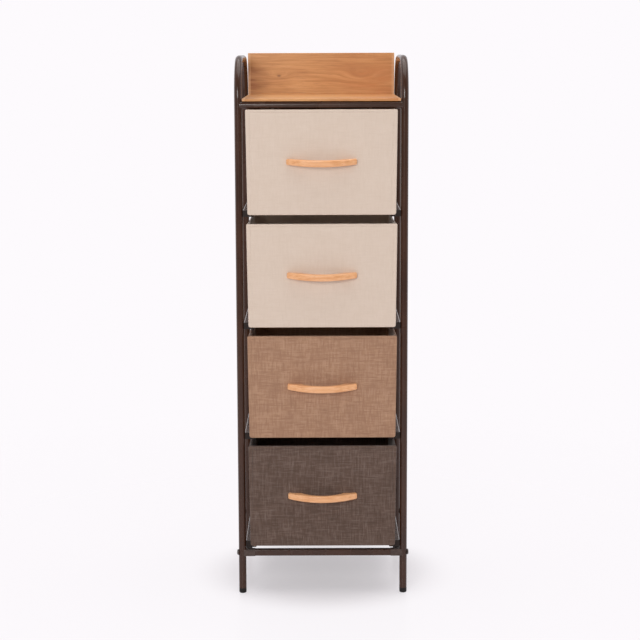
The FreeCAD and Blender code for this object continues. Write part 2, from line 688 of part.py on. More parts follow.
def handle(level):
    """A bowed wooden pull: an arc outside, a smaller arc inside for the fingers, two flat feet, and a top
    and an underside that droop towards the middle."""
    body = make_body(
        "drawer_%d_handle" % level,
        y="Places.frame_y - Sizes.frame_depth / 2 - Places.panel_y",
        z=rail_top(level) + " + Places.handle_z",
    )
    height = "Sizes.handle_rise + Sizes.handle_top_dip + Sizes.handle_mid_drop"
    plan = make_sketch(body, "XY_Plane", z="(%s) / 2 - Sizes.handle_mid_drop" % height)
    end = "Places.handle_half"
    gap = "Places.finger_half"
    bow = "Sizes.handle_reach - Sizes.handle_end_depth"
    finger = "Sizes.handle_reach - Sizes.handle_bow"
    arc_radius = "((%s)^2 + (%s)^2) / 2 / (%s)"
    e, g = measure(end), measure(gap)
    depth, reach, hollow = measure("Sizes.handle_end_depth"), measure("Sizes.handle_reach"), measure(finger)
    plan.addGeometry(Part.LineSegment(Vector(-e, -depth, 0), Vector(-e, 0, 0)), False)
    plan.addGeometry(Part.LineSegment(Vector(-e, 0, 0), Vector(-g, 0, 0)), False)
    plan.addGeometry(Part.Arc(Vector(-g, 0, 0), Vector(0, -hollow, 0), Vector(g, 0, 0)), False)
    plan.addGeometry(Part.LineSegment(Vector(g, 0, 0), Vector(e, 0, 0)), False)
    plan.addGeometry(Part.LineSegment(Vector(e, 0, 0), Vector(e, -depth, 0)), False)
    plan.addGeometry(Part.Arc(Vector(-e, -depth, 0), Vector(0, -reach, 0), Vector(e, -depth, 0)), False)
    for joint in ((0, 2, 1, 1), (1, 2, 2, 1), (2, 2, 3, 1), (3, 2, 4, 1), (4, 2, 5, 2), (5, 1, 0, 1)):
        plan.addConstraint(Sketcher.Constraint("Coincident", *joint))
    pin(plan, 0, 1, "-(%s)" % end, "-Sizes.handle_end_depth")
    pin(plan, 4, 2, end, "-Sizes.handle_end_depth")
    pin(plan, 1, 1, "-(%s)" % end, "0")
    pin(plan, 1, 2, "-(%s)" % gap, "0")
    pin(plan, 3, 1, gap, "0")
    pin(plan, 3, 2, end, "0")
    dimension(plan, "Radius", (2,), arc_radius % (gap, finger, finger))
    dimension(plan, "Radius", (5,), arc_radius % (end, bow, bow))
    pad(body, plan, height, centred=True)

    def trim(at_ends, at_middle, beyond):
        """Cuts off what lies beyond an arc that droops from the handle's ends to its middle."""
        cut = make_sketch(body, "XZ_Plane")
        shoulder, low, far = measure(at_ends), measure(at_middle), measure(beyond)
        cut.addGeometry(Part.Arc(Vector(-e, shoulder, 0), Vector(0, low, 0), Vector(e, shoulder, 0)), False)
        cut.addGeometry(Part.LineSegment(Vector(e, shoulder, 0), Vector(e, far, 0)), False)
        cut.addGeometry(Part.LineSegment(Vector(e, far, 0), Vector(-e, far, 0)), False)
        cut.addGeometry(Part.LineSegment(Vector(-e, far, 0), Vector(-e, shoulder, 0)), False)
        for joint in ((0, 2, 1, 1), (1, 2, 2, 1), (2, 2, 3, 1), (3, 2, 0, 1)):
            cut.addConstraint(Sketcher.Constraint("Coincident", *joint))
        pin(cut, 1, 1, end, at_ends)
        pin(cut, 3, 2, "-(%s)" % end, at_ends)
        pin(cut, 2, 1, end, beyond)
        pin(cut, 2, 2, "-(%s)" % end, beyond)
        droop = "%s - (%s)" % (at_ends, at_middle)
        dimension(cut, "Radius", (0,), arc_radius % (end, droop, droop))
        return pocket(body, cut)

    top = "Sizes.handle_rise"
    trim(top, top + " - Sizes.handle_top_dip", top + " + 2 * Sizes.handle_top_dip")
    shaped = trim("-Sizes.handle_end_drop", "-Sizes.handle_mid_drop", "-2 * Sizes.handle_mid_drop")
    rounded = round_edges(
        body, shaped, "Sizes.handle_round", lambda edge: edge.BoundBox.YMax < -NEAR or runs_along(edge, 1)
    )
    deep = measure(finger) / 2
    round_edges(
        body,
        rounded,
        "Sizes.handle_finger_round",
        lambda edge: edge.BoundBox.YMax > -NEAR and edge.BoundBox.YMin < -deep,
    )
    screw_threads = make_sketch(body, "XZ_Plane")
    for side in (-1, 1):
        draw_circle(screw_threads, "Places.screw_bore", "%d * Sizes.handle_screw_spacing / 2" % side, "0")
    thread = pocket(body, screw_threads, "Sizes.handle_screw_bite + Sizes.hole_depth_spare")
    thread.Reversed = True


def handle_screws(level):
    """The two screws of a handle, from inside the bin through the front into the handle's feet."""
    body = drawer_body("drawer_%d_handle_screws" % level, level)
    profile = make_sketch(body, "XY_Plane", "Sizes.handle_screw_spacing / 2", "0", "Places.handle_z")
    seat = "Sizes.bin_wall - Sizes.front_gap"
    tip = "-(Places.panel_y + Sizes.handle_screw_bite)"
    draw_outline(
        profile,
        [
            ("0", seat + " + Sizes.screw_head_height"),
            ("0", tip),
            ("Sizes.screw_diameter / 2", tip + " + Sizes.screw_diameter / 2"),
            ("Sizes.screw_diameter / 2", seat),
            ("Sizes.screw_head_diameter / 2", seat),
            ("Sizes.screw_head_diameter / 2", seat + " + Sizes.screw_head_height / 3"),
            ("Sizes.screw_head_diameter / 3", seat + " + Sizes.screw_head_height"),
        ],
    )
    screw = body.newObject("PartDesign::Revolution", body.Name + "_turned")
    screw.Profile = profile
    screw.ReferenceAxis = (profile, ["V_Axis"])
    screw.Angle = 360
    repeat(body, "YZ_Plane")


# ---- build, check and write ------------------------------------------------------------------------------


def check():
    """Stops at any object that failed, and at any node without a sound shape."""
    for item in doc.Objects:
        if "Invalid" in item.State or "Error" in item.State:
            raise RuntimeError("%s (%s): %s" % (item.Name, item.TypeId, item.State))
    for node in nodes:
        if node.Shape.isNull() or not node.Shape.isValid():
            raise RuntimeError("%s has no sound shape" % node.Label)


def write():
    """Writes each node to its own file."""
    os.makedirs("parts", exist_ok=True)
    for node in nodes:
        node.Shape.exportStep("parts/%s.step" % node.Label)
        print("%-26s solids %2d  volume %10.0f" % (node.Label, len(node.Shape.Solids), node.Shape.Volume))


sizes = make_sheet("Sizes", SIZES)
places = make_sheet("Places", {alias: "=" + formula for alias, formula in PLACES.items()})

side_loop("side_loop_left", -1)
side_loop("side_loop_right", 1)
drawer_rails()
rail_plugs("rail_plugs_front", -1)
rail_plugs("rail_plugs_rear", 1)
top_bar("top_bar_front", -1)
top_bar("top_bar_rear", 1)
for word, side in (("front", -1), ("rear", 1)):
    straight_tube(
        "bottom_bar_" + word,
        0,
        "Places.fitting_end",
        "Sizes.bar_size",
        "Sizes.bar_size",
        y="Places.frame_y + %d * Places.leg_y" % side,
        z="Places.bottom_bar_z",
    )
    for hand, end in (("left", -1), ("right", 1)):
        end_fitting("bar_fitting_%s_%s" % (word, hand), end, side)
        foot_cap("foot_cap_%s_%s" % (word, hand), end, side)
frame_bolts()
upright_screws("shelf_screws", -1, "(Places.shelf_z + Sizes.shelf_screw_bite)")
upright_screws("back_board_screws", 1, "(Places.shelf_top + Sizes.back_screw_bite)")
shelf_board()
back_board()
for level in range(1, DRAWERS + 1):
    fabric_bin(level)
    front_board(level)
    base_board(level)
    handle(level)
    handle_screws(level)

doc.recompute()
check()
write()
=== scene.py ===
"""Looks for the fabric drawer dresser: a lacquered tube frame, veneered boards and four sewn drawers.

Metres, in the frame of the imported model. The front faces -Y.
"""

import math

import bmesh
import bpy
from mathutils import Matrix, Vector, noise


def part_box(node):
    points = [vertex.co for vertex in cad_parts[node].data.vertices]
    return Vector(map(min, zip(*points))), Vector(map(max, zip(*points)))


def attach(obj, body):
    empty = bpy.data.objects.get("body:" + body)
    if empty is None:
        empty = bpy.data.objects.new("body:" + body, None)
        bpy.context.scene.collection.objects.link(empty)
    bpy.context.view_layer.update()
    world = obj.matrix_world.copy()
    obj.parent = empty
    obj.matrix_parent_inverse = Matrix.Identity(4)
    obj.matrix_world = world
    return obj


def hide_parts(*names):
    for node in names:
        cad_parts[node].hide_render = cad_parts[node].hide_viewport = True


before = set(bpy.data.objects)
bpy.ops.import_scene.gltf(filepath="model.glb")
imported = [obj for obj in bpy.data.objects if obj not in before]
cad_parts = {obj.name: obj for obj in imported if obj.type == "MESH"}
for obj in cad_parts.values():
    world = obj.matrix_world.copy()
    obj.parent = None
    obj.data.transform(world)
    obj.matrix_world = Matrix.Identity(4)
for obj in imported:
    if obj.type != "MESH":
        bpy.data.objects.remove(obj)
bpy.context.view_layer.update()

TOUCHING = 1e-5  # two places closer than this are one

# bins of the drawers
BIN_HALF = 0.1375  # outer side of a bin's side wall
PANEL_BACK = -0.1358  # rear face of the fronts, where the bins begin
BIN_REAR = 0.1545  # outer side of a bin's rear wall
BIN_CORNER = 0.009  # radius of the upright rear corners
BIN_LOWER_EDGE = 0.0025  # radius between the walls and the floor
BIN_FLOOR = 0.0088  # underside of a bin above the lower edge of its front
BIN_PARTS_WIDE = 14  # into which its width, depth and height are cut
BIN_PARTS_DEEP = 16
BIN_PARTS_HIGH = 9
CLOTH = 0.0018  # its thickness
DOUBLES = 0.00002  # points closer than this are merged

# hem of a bin
HEM = 0.014  # from the rim down to the hem's seam
HEM_FREE = 0.004  # the wall's even parts end this far below the seam
HEM_SEAM_HALF = 0.0022  # half the width of the seam's groove, as it is cut
HEM_SEAM_REACH = 0.003  # the groove's slopes end this far from the seam
HEM_SEAM_SINK = 0.0007
PIPING = 0.0085  # height of the corded roll that ends a hem
PIPING_RISE = 0.0022  # height over which it rises from the wall
PIPING_OUT = 0.0020  # by which it stands out from the wall
PIPING_IN = 0.0028  # and in
WALL_OUTSIDE = 0.002  # a wall's points before it gets its thickness are nearer than this to its outer side
INSIDE_DEEPEST = 0.004  # between these depths under the outer side lie the points of its inner side
INSIDE_SHALLOWEST = 0.0012

# hang of the walls
SIDE_SAG = 0.0030
REAR_SAG = 0.0045
RIPPLE = 0.0016
RIPPLES_PER_METRE = (9, 14, 11)
RIM_DROP = 0.0012  # of the side walls, in their middle
STILL_BELOW = 0.02  # share of the height that the floor holds straight

# fronts of the drawers
FRONT_TAPER = 0.0025  # by which each side of a front draws in towards its lower edge
SEAM_OUTSIDE = 0.0011  # from the front board's edge to the seam round it
SEAM_SINK = 0.0009
SEAM_HALF = 0.0020  # half the width of the seam's groove, as it is cut
SEAM_HALF_ABOVE = 0.0018  # the same over the upper seam, which is near the edge
SEAM_REACH = 0.0021  # the groove's slopes end this far from the side seams
SEAM_REACH_ABOVE = 0.0019  # and from the upper seam
SEAM_CORNER = 0.001  # by which the grooves run past each other at the corners
FACE_DEPTH = 0.0012  # points nearer than this to the face belong to it
FULLNESS = 0.0007  # by which the cloth stands off its board
FULL_ABOVE = 0.004  # from the lower edge
LOWER_FOLDS = (0.0045, 0.0075)  # heights of the cuts over the lower edge
LOWER_CORNER = 0.004  # radii of a front's corners
UPPER_CORNER = 0.0022
ROLLED_EDGE = 0.0019  # and of its edges

# stitches
THREAD = 0.0007
STITCH = 0.0032
STITCH_PITCH = 0.0046
STITCH_TIP = 0.18  # by which a stitch narrows at its ends, as a share of the thread
STITCH_STRETCH = 1.16  # by which the ends are drawn out
STITCH_LIFT = 0.1  # of a stitch from the cloth, as a share of the thread
ROW_START = 0.006  # from the end of a seam to its first stitch
ROW_SHORT = 0.008  # by which a row is shorter than its seam
UPPER_ROW_START = 0.002
FACE_SUNK = 0.0007  # depth at which the stitches lie in a front's groove
HEM_SUNK = 0.0003  # and in a hem's

# veneer
KNOT = (-0.084, 0.975)  # x and z
SWIRL = (0.082, 0.974)
# painted shade on the boards beside the rear legs, streaked like the grain: x, z, reach along and up,
# strength and colour
LEG_SHADE_ZONES = [(-0.143, 0.966, 0.052, 0.052, 1.0, "#834200"), (0.135, 0.968, 0.150, 0.090, 0.70, "#c27840")]

# studio
ROOM_WHITE = "#fdfafd"
FLOOR_RADIUS = 4.3
FILL_FRONT, FILL_REAR = 0.50, 0.86  # strength of the room's light on the object from these sides
GLOSS_FRONT, GLOSS_REAR = 0.22, 1.0  # and of the room as the object's gloss shows it
GLOSS_ABOVE = 0.45  # share of that which is left overhead
CAMERA_PLACE = (-0.0038, -3.2355, 1.030)
CAMERA_TILT, CAMERA_ROLL = 8.54, -0.19  # degrees
CAMERA_SHIFT = -0.03
PICTURE_WIDTH = 640  # pixels
FOCAL_LENGTH = 1685  # in the same pixels
SENSOR_WIDTH = 36


# ---- selecting and editing -------------------------------------------------------------------------------


def deselect():
    bpy.ops.object.select_all(action="DESELECT")


def add_start(primitive, name, scale, place, turn=(0, 0, 0), **settings):
    """Adds a primitive at its size and place, with both in its mesh."""
    deselect()
    primitive(location=place, rotation=turn, **settings)
    piece = bpy.context.object
    piece.name = name
    piece.data.name = name
    piece.scale = scale
    bpy.ops.object.transform_apply(location=True, rotation=True, scale=True)
    return piece


def select_only(piece):
    deselect()
    bpy.context.view_layer.objects.active = piece
    piece.select_set(True)


def open_piece(piece):
    """Opens a piece in edit mode with nothing selected."""
    select_only(piece)
    bpy.ops.object.mode_set(mode="EDIT")
    bpy.ops.mesh.select_all(action="DESELECT")


def close_piece():
    bpy.ops.object.mode_set(mode="OBJECT")


def pick(piece, kind, wanted):
    """Selects the faces, edges or verts of an open piece for which wanted is true, and nothing else."""
    bpy.ops.mesh.select_mode(type={"faces": "FACE", "edges": "EDGE", "verts": "VERT"}[kind])
    bpy.ops.mesh.select_all(action="DESELECT")
    mesh = bmesh.from_edit_mesh(piece.data)
    for part in getattr(mesh, kind):
        if wanted(part):
            part.select_set(True)
    mesh.select_flush_mode()
    bmesh.update_edit_mesh(piece.data)


def cut_across(places, direction):
    """Cuts the whole open piece along planes at the places given."""
    for place in places:
        bpy.ops.mesh.select_all(action="SELECT")
        bpy.ops.mesh.bisect(plane_co=Vector(direction) * place, plane_no=direction)


def spread(low, high, count):
    """Places that divide a length into equal parts, its ends left out."""
    return [low + (high - low) * i / count for i in range(1, count)]


def mould(piece, move):
    """Moves each vertex to where move puts it."""
    for vertex in piece.data.vertices:
        vertex.co = move(vertex.co.copy())
    piece.data.update()


def apply_modifier(piece, modifier):
    select_only(piece)
    bpy.ops.object.modifier_apply(modifier=modifier.name)


def smooth_by_subdividing(piece):
    modifier = piece.modifiers.new("rounding", "SUBSURF")
    modifier.levels = 1
    modifier.render_levels = 1
    apply_modifier(piece, modifier)


def shade_smooth(piece):
    select_only(piece)
    bpy.ops.object.shade_smooth()


def join(pieces, name):
    """Joins pieces into the first one."""
    deselect()
    for piece in pieces:
        piece.select_set(True)
    bpy.context.view_layer.objects.active = pieces[0]
    bpy.ops.object.join()
    pieces[0].name = name
    pieces[0].data.name = name
    return pieces[0]


def bump(distance, reach):
    """1 at distance 0, falling smoothly to 0 at reach."""
    share = min(abs(distance) / reach, 1)
    return (1 - share * share) ** 2


def rise(share):
    """A smooth step from 0 to 1."""
    share = min(max(share, 0), 1)
    return share * share * (3 - 2 * share)


# ---- materials -------------------------------------------------------------------------------------------


def colour(code):
    """An sRGB hex colour as linear RGBA."""
    parts = [int(code[i : i + 2], 16) / 255 for i in (1, 3, 5)]
    return [p / 12.92 if p <= 0.04045 else ((p + 0.055) / 1.055) ** 2.4 for p in parts] + [1]


def add_node(tree, kind, inputs=None, stops=(), **settings):
    """Adds a node with its settings. An input is given a value, an output or a node, which feeds it with
    its first output. The stops of a colour ramp are pairs of place and hex colour, from low to high."""
    node = tree.nodes.new(kind)
    for name, value in settings.items():
        setattr(node, name, value)
    for socket, value in (inputs or {}).items():
        if isinstance(value, bpy.types.Node):
            value = value.outputs[0]
        if isinstance(value, bpy.types.NodeSocket):
            tree.links.new(value, node.inputs[socket])
        else:
            node.inputs[socket].default_value = value
    for _ in stops[2:]:
        node.color_ramp.elements.new(1.0)
    for i, (at, code) in enumerate(stops):
        node.color_ramp.elements[i].position = at
        node.color_ramp.elements[i].color = colour(code)
    return node


def start_material(name):
    """An empty node material, and the Object coordinates that its patterns lie on."""
    material = bpy.data.materials.new(name)
    material.use_nodes = True
    tree = material.node_tree
    tree.nodes.clear()
    place = add_node(tree, "ShaderNodeTexCoord").outputs["Object"]
    return material, tree, place


def finish_material(tree, shader):
    add_node(tree, "ShaderNodeOutputMaterial", {"Surface": shader})


def streaks(tree, place, size, detail=3.0, roughness=0.55):
    """Noise whose blotches have the size given in metres along x, y and z."""
    stretched = add_node(tree, "ShaderNodeMapping", {"Vector": place, "Scale": [1 / s for s in size]})
    return add_node(
        tree,
        "ShaderNodeTexNoise",
        {"Vector": stretched, "Scale": 1.0, "Detail": detail, "Roughness": roughness},
    )


def nearness(tree, place, x, z, wide, high, strength=1.0):
    """A soft oval spot on a board's face: its strength in the middle, falling to nothing at its rim."""
    offset = add_node(
        tree,
        "ShaderNodeMapping",
        {"Vector": place, "Location": (-x / wide, 0, -z / high), "Scale": (1 / wide, 0, 1 / high)},
    )
    away = add_node(tree, "ShaderNodeVectorMath", {0: offset}, operation="LENGTH")
    return add_node(
        tree,
        "ShaderNodeMapRange",
        {"Value": away.outputs["Value"], "To Min": strength, "To Max": 0.0},
        interpolation_type="SMOOTHSTEP",
    )


def lacquered_steel_tube():
    """Dark brown baked lacquer over drawn steel tube: smooth, with a faint orange peel and a soft gloss."""
    material, tree, place = start_material("dark_brown_baked_lacquer")
    cloudy = streaks(tree, place, (0.05, 0.05, 0.09))
    brown = add_node(tree, "ShaderNodeValToRGB", {"Fac": cloudy}, [(0.3, "#392318"), (0.7, "#452a1c")])
    # the peel's dimples are 0.5 mm wide; they are drawn 2.2 mm wide so that they show
    peel = streaks(tree, place, (0.0022, 0.0022, 0.0022), detail=1.0)
    skin = add_node(tree, "ShaderNodeBump", {"Height": peel, "Strength": 0.04, "Distance": 0.0002})
    gloss = add_node(
        tree,
        "ShaderNodeMapRange",
        {"Value": cloudy, "From Min": 0.3, "From Max": 0.7, "To Min": 0.24, "To Max": 0.30},
    )
    shader = add_node(
        tree,
        "ShaderNodeBsdfPrincipled",
        {
            "Base Color": brown,
            "Roughness": gloss,
            "IOR": 1.5,
            "Specular IOR Level": 0.32,
            "Coat Weight": 0.22,
            "Coat Roughness": 0.10,
            "Normal": skin,
        },
    )
    finish_material(tree, shader)
    return material


def moulded_plastic(name, dark, light, roughness):
    """Injection-moulded polypropylene with a spark-eroded surface, which scatters the light evenly."""
    material, tree, place = start_material(name)
    cloudy = streaks(tree, place, (0.006, 0.006, 0.006))
    tone = add_node(tree, "ShaderNodeValToRGB", {"Fac": cloudy}, [(0.35, dark), (0.65, light)])
    pits = streaks(tree, place, (0.0012, 0.0012, 0.0012), detail=1.0)
    skin = add_node(tree, "ShaderNodeBump", {"Height": pits, "Strength": 0.25, "Distance": 0.0001})
    shader = add_node(
        tree,
        "ShaderNodeBsdfPrincipled",
        {"Base Color": tone, "Roughness": roughness, "IOR": 1.49, "Specular IOR Level": 0.35, "Normal": skin},
    )
    finish_material(tree, shader)
    return material


def coated_bolt_steel():
    """Steel bolts under a thin brown dip coat, a little worn and brighter on the high spots."""
    material, tree, place = start_material("brown_coated_bolt_steel")
    worn = streaks(tree, place, (0.003, 0.003, 0.003), detail=4.0)
    tone = add_node(tree, "ShaderNodeValToRGB", {"Fac": worn}, [(0.4, "#2e231d"), (0.72, "#4a3a30")])
    shader = add_node(
        tree,
        "ShaderNodeBsdfPrincipled",
        {"Base Color": tone, "Roughness": 0.34, "IOR": 1.5, "Coat Weight": 0.3, "Coat Roughness": 0.2},
    )
    finish_material(tree, shader)
    return material


def zinc_plated_screw():
    """Bright zinc plate on rolled screws: a cool grey metal with fine turning marks."""
    material, tree, place = start_material("bright_zinc_plate")
    marks = streaks(tree, place, (0.004, 0.0006, 0.004))
    tone = add_node(tree, "ShaderNodeValToRGB", {"Fac": marks}, [(0.3, "#9a9c9e"), (0.7, "#c3c4c4")])
    rough = add_node(
        tree,
        "ShaderNodeMapRange",
        {"Value": marks, "From Min": 0.3, "From Max": 0.7, "To Min": 0.26, "To Max": 0.4},
    )
    shader = add_node(
        tree, "ShaderNodeBsdfPrincipled", {"Base Color": tone, "Metallic": 1.0, "Roughness": rough}
    )
    finish_material(tree, shader)
    return material


def grown_rings(tree, place, knots, spacing, wander):
    """Long wavy grain lines along x, spacing metres apart, bent round the knots given as (x, z, reach)."""
    drift = streaks(tree, place, (0.30, 0.05, 0.030), detail=2.0)
    parts = add_node(tree, "ShaderNodeSeparateXYZ", {"Vector": place})
    across = add_node(
        tree, "ShaderNodeMath", {0: drift, 1: wander, 2: parts.outputs["Z"]}, operation="MULTIPLY_ADD"
    )
    across = add_node(tree, "ShaderNodeMath", {0: across, 1: parts.outputs["Y"]}, operation="ADD")
    for x, z, reach in knots:
        near = nearness(tree, place, x, z, wide=3.0 * reach, high=reach)
        bend = {0: near, 1: reach * 0.9, 2: across}
        across = add_node(tree, "ShaderNodeMath", bend, operation="MULTIPLY_ADD")
    along = add_node(tree, "ShaderNodeMath", {0: parts.outputs["X"], 1: 0.05}, operation="MULTIPLY")
    bent = add_node(tree, "ShaderNodeCombineXYZ", {"X": along, "Z": across})
    return add_node(
        tree, "ShaderNodeTexNoise", {"Vector": bent, "Scale": 1 / spacing, "Detail": 3.0, "Roughness": 0.6}
    )


def lacquered_veneer():
    """Rustic oak veneer under a semi-gloss lacquer: long grain, a knot, a swirl, painted shade beside the
    legs and a painted highlight on the rounded ends.
    """
    material, tree, place = start_material("semi_gloss_lacquered_oak_veneer")
    bends = [(*KNOT, 0.012), (*SWIRL, 0.020)]
    lines = grown_rings(tree, place, bends, spacing=0.0055, wander=0.016)
    tones = [(0.30, "#b2743f"), (0.45, "#c4884d"), (0.56, "#d09559"), (0.72, "#dca268")]
    wood = add_node(tree, "ShaderNodeValToRGB", {"Fac": lines}, tones)
    # vessels are 0.3 mm wide; they are drawn 1.2 mm wide so that they show
    pores = streaks(tree, place, (0.022, 0.0016, 0.0012), detail=2.0)
    dark_pores = add_node(
        tree,
        "ShaderNodeMapRange",
        {"Value": pores, "From Min": 0.56, "From Max": 0.74, "To Min": 0.0, "To Max": 0.5},
    )
    wood = add_node(tree, "ShaderNodeMix", {0: dark_pores, 6: wood, 7: colour("#a06637")}, data_type="RGBA")
    knot = nearness(tree, place, *KNOT, wide=0.0063, high=0.0039, strength=0.9)
    wood = add_node(
        tree, "ShaderNodeMix", {0: knot, 6: wood.outputs[2], 7: colour("#6e3f22")}, data_type="RGBA"
    )
    broad = streaks(tree, place, (0.16, 0.06, 0.02), detail=1.0)
    broad = add_node(
        tree,
        "ShaderNodeMapRange",
        {"Value": broad, "From Min": 0.3, "From Max": 0.7, "To Min": 0.0, "To Max": 0.30},
    )
    wood = add_node(
        tree, "ShaderNodeMix", {0: broad, 6: wood.outputs[2], 7: colour("#c58c58")}, data_type="RGBA"
    )
    shade_streaks = streaks(tree, place, (0.050, 0.010, 0.0075), detail=3.0)
    shade_streaks = add_node(
        tree,
        "ShaderNodeMapRange",
        {"Value": shade_streaks, "From Min": 0.36, "From Max": 0.62, "To Min": 0.45, "To Max": 1.0},
    )
    # painted shade beside the rear legs, broken into streaks like the grain
    for x, z, wide, high, strength, shade in LEG_SHADE_ZONES:
        darker = nearness(tree, place, x, z, wide, high, strength)
        darker = add_node(tree, "ShaderNodeMath", {0: darker, 1: shade_streaks}, operation="MULTIPLY")
        wood = add_node(
            tree, "ShaderNodeMix", {0: darker, 6: wood.outputs[2], 7: colour(shade)}, data_type="RGBA"
        )
    # painted highlight: the last 5 mm of a board at each side are paler, where its rounded ends catch the
    # light
    parts = add_node(tree, "ShaderNodeSeparateXYZ", {"Vector": place})
    from_middle = add_node(tree, "ShaderNodeMath", {0: parts.outputs["X"]}, operation="ABSOLUTE")
    end_highlight = add_node(
        tree,
        "ShaderNodeMapRange",
        {"Value": from_middle, "From Min": 0.1402, "From Max": 0.1408, "To Min": 0.0, "To Max": 0.45},
    )
    wood = add_node(
        tree, "ShaderNodeMix", {0: end_highlight, 6: wood.outputs[2], 7: colour("#dcab7c")}, data_type="RGBA"
    )
    relief = add_node(tree, "ShaderNodeMath", {0: dark_pores, 1: -0.8, 2: lines}, operation="MULTIPLY_ADD")
    skin = add_node(tree, "ShaderNodeBump", {"Height": relief, "Strength": 0.18, "Distance": 0.0003})
    shader = add_node(
        tree,
        "ShaderNodeBsdfPrincipled",
        {
            "Base Color": wood.outputs[2],
            "Roughness": 0.46,
            "IOR": 1.5,
            "Specular IOR Level": 0.38,
            "Coat Weight": 0.28,
            "Coat Roughness": 0.22,
            "Normal": skin,
        },
    )
    finish_material(tree, shader)
    return material


def lacquered_beech():
    """Milled and sanded beech under a clear lacquer: close grain with the short darker flecks of its rays."""
    material, tree, place = start_material("clear_lacquered_beech")
    grain = streaks(tree, place, (0.070, 0.0035, 0.0030), detail=3.0)
    tones = [(0.30, "#dc9a64"), (0.5, "#e8ab76"), (0.7, "#f0b888")]
    wood = add_node(tree, "ShaderNodeValToRGB", {"Fac": grain}, tones)
    flecks = streaks(tree, place, (0.006, 0.0012, 0.0012), detail=1.0)
    flecks = add_node(
        tree,
        "ShaderNodeMapRange",
        {"Value": flecks, "From Min": 0.6, "From Max": 0.75, "To Min": 0.0, "To Max": 0.4},
    )
    wood = add_node(tree, "ShaderNodeMix", {0: flecks, 6: wood, 7: colour("#c2805a")}, data_type="RGBA")
    skin = add_node(tree, "ShaderNodeBump", {"Height": grain, "Strength": 0.08, "Distance": 0.0002})
    shader = add_node(
        tree,
        "ShaderNodeBsdfPrincipled",
        {
            "Base Color": wood.outputs[2],
            "Roughness": 0.40,
            "IOR": 1.5,
            "Coat Weight": 0.5,
            "Coat Roughness": 0.18,
            "Normal": skin,
        },
    )
    finish_material(tree, shader)
    return material


def woven_linen(name, base, pale, deep, contrast, mottle):
    """Plain-woven linen-look polyester: matt, with a soft sheen at a slant and slubs along both threads."""
    material, tree, place = start_material(name)
    # threads are 0.5 mm apart; they are drawn 2.4 mm wide so that the weave shows
    warp = streaks(tree, place, (0.0026, 0.0026, 0.020), detail=2.0, roughness=0.6)
    weft = streaks(tree, place, (0.022, 0.022, 0.0024), detail=2.0, roughness=0.6)
    slubs = add_node(tree, "ShaderNodeMath", {0: warp, 1: weft}, operation="MAXIMUM")
    slubs = add_node(
        tree,
        "ShaderNodeMapRange",
        {"Value": slubs, "From Min": 0.50, "From Max": 0.76, "To Min": 0.0, "To Max": contrast},
    )
    cloth = add_node(tree, "ShaderNodeMix", {0: slubs, 6: colour(base), 7: colour(pale)}, data_type="RGBA")
    gaps = add_node(tree, "ShaderNodeMath", {0: warp, 1: weft}, operation="MINIMUM")
    gaps = add_node(
        tree,
        "ShaderNodeMapRange",
        {"Value": gaps, "From Min": 0.50, "From Max": 0.26, "To Min": 0.0, "To Max": contrast},
    )
    cloth = add_node(tree, "ShaderNodeMix", {0: gaps, 6: cloth.outputs[2], 7: colour(deep)}, data_type="RGBA")
    patches = streaks(tree, place, (0.030, 0.030, 0.024), detail=2.0)
    patches = add_node(
        tree,
        "ShaderNodeMapRange",
        {"Value": patches, "From Min": 0.3, "From Max": 0.7, "To Min": 0.0, "To Max": mottle},
    )
    cloth = add_node(
        tree, "ShaderNodeMix", {0: patches, 6: cloth.outputs[2], 7: colour(deep)}, data_type="RGBA"
    )
    weave = add_node(tree, "ShaderNodeMath", {0: warp, 1: weft}, operation="ADD")
    skin = add_node(tree, "ShaderNodeBump", {"Height": weave, "Strength": 0.35, "Distance": 0.0005})
    shader = add_node(
        tree,
        "ShaderNodeBsdfPrincipled",
        {
            "Base Color": cloth.outputs[2],
            "Roughness": 0.88,
            "IOR": 1.45,
            "Specular IOR Level": 0.25,
            "Sheen Weight": 0.18,
            "Sheen Roughness": 0.5,
            "Normal": skin,
        },
    )
    finish_material(tree, shader)
    return material


def sewing_thread(name, pale, deep):
    """Spun polyester thread, a shade off its cloth, with the two-ply twist as a fine ripple."""
    material, tree, place = start_material(name)
    twist = streaks(tree, place, (0.0012, 0.0012, 0.0012), detail=1.0)
    tone = add_node(tree, "ShaderNodeValToRGB", {"Fac": twist}, [(0.35, deep), (0.65, pale)])
    skin = add_node(tree, "ShaderNodeBump", {"Height": twist, "Strength": 0.4, "Distance": 0.0002})
    shader = add_node(
        tree,
        "ShaderNodeBsdfPrincipled",
        {"Base Color": tone, "Roughness": 0.7, "IOR": 1.45, "Sheen Weight": 0.2, "Normal": skin},
    )
    finish_material(tree, shader)
    return material


def pressed_hardboard():
    """Brown hardboard, hot-pressed smooth: felted wood fibres that show as short pale hairs."""
    material, tree, place = start_material("hot_pressed_hardboard")
    hairs = streaks(tree, place, (0.010, 0.0016, 0.0016), detail=3.0)
    crossed = streaks(tree, place, (0.0016, 0.010, 0.0016), detail=3.0)
    felt = add_node(tree, "ShaderNodeMath", {0: hairs, 1: crossed}, operation="MAXIMUM")
    tones = [(0.42, "#6f5136"), (0.58, "#86654a"), (0.75, "#a58465")]
    tone = add_node(tree, "ShaderNodeValToRGB", {"Fac": felt}, tones)
    skin = add_node(tree, "ShaderNodeBump", {"Height": hairs, "Strength": 0.2, "Distance": 0.0003})
    shader = add_node(
        tree, "ShaderNodeBsdfPrincipled", {"Base Color": tone, "Roughness": 0.62, "IOR": 1.5, "Normal": skin}
    )
    finish_material(tree, shader)
    return material


